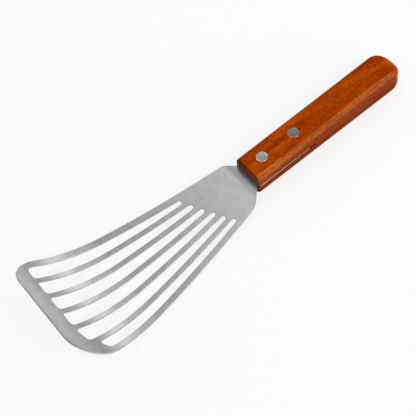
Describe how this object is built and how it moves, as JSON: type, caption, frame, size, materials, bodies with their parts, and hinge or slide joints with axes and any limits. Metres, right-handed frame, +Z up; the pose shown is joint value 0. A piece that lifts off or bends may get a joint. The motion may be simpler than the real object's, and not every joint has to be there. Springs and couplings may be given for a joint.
{
  "type": "fish spatula",
  "caption": "Long flared fish turner: thin slotted steel blade curling up at its slanted front edge, full-width tang riveted in a rounded wooden handle.",
  "frame": {"origin": "middle of the flat underside of the handle", "axes": "+X along the handle towards the butt, +Y towards the left edge seen from the butt, +Z up"},
  "size_m": [0.2909, 0.085, 0.0322],
  "materials": {
    "blade_steel": "finely brushed stainless sheet",
    "handle_wood": "oiled reddish brown hardwood, satin",
    "rivet_metal": "ground flush, satin"
  },
  "bodies": {
    "root": {"blade": "blade_steel", "handle": "handle_wood", "front_rivet_post": "rivet_metal", "front_rivet_sleeve": "rivet_metal", "rear_rivet_post": "rivet_metal", "rear_rivet_sleeve": "rivet_metal"}
  },
  "joints": []
}
